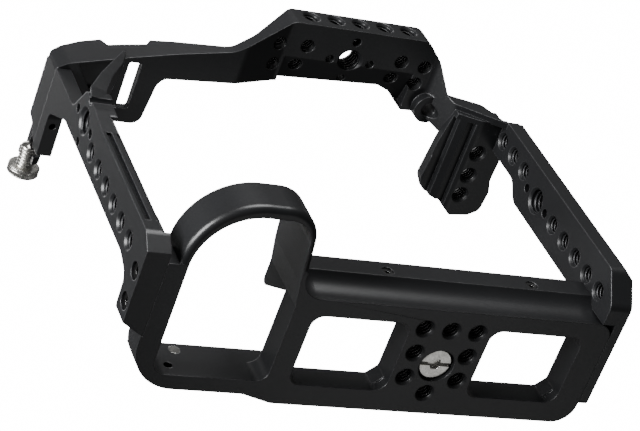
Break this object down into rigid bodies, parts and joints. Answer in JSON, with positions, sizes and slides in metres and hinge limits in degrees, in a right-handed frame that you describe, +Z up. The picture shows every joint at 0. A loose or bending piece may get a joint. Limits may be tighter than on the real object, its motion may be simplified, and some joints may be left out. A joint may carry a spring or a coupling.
{
  "type": "camera cage",
  "caption": "Bolted frame that surrounds a tall camera body, with a base, two uprights, a top bar and threaded holes for accessories.",
  "frame": {"origin": "under the middle of the cage's bounding box, at the underside of the base plate", "axes": "+X along the base away from the grip side, -Y towards the lens, +Z up"},
  "size_m": [0.1848, 0.0782, 0.133],
  "materials": {
    "black_aluminium": "satin black anodised",
    "bright_steel": "turned, bare",
    "black_steel": "black oxide",
    "black_rubber": "matte",
    "black_nylon": "matte",
    "nickel": "plated"
  },
  "bodies": {
    "cage": {"base_plate": "black_aluminium", "grip_side_post": "black_aluminium", "top_frame": "black_aluminium", "grip_post_screws": "black_steel", "end_post_screws": "black_steel", "arm_screws": "black_steel", "base_pads": "black_rubber", "lip_grub_screws": "black_steel", "key_magnet": "nickel"},
    "camera_washer": {"camera_screw_washer": "black_nylon"},
    "camera_screw": {"camera_screw": "bright_steel", "camera_screw_clip": "black_steel"},
    "thumb_pad": {"thumb_screw_pad": "nickel"},
    "thumb_screw": {"thumb_screw": "bright_steel"}
  },
  "joints": [
    {"name": "camera_screw_travel", "type": "slide", "parent": "cage", "child": "camera_washer", "axis": [0, 0, 1], "range_m": [-0.00127, 0]},
    {"name": "camera_screw_turn", "type": "hinge", "parent": "camera_washer", "child": "camera_screw", "pos_m": [0.02757, 0.01895, 0.005], "axis": [0, 0, 1], "range_deg": [-360, 0]},
    {"name": "thumb_screw_travel", "type": "slide", "parent": "cage", "child": "thumb_pad", "axis": [0, 1, 0], "range_m": [-0.00254, 0.00254]},
    {"name": "thumb_screw_turn", "type": "hinge", "parent": "thumb_pad", "child": "thumb_screw", "pos_m": [-0.08662, 0.02795, 0.1215], "axis": [0, 1, 0], "range_deg": [-720, 720]}
  ],
  "couplings": [
    {"joint": "camera_screw_turn", "follows": "camera_screw_travel", "rad_per_m": 4947.4},
    {"joint": "thumb_screw_turn", "follows": "thumb_screw_travel", "rad_per_m": 4947.4}
  ]
}
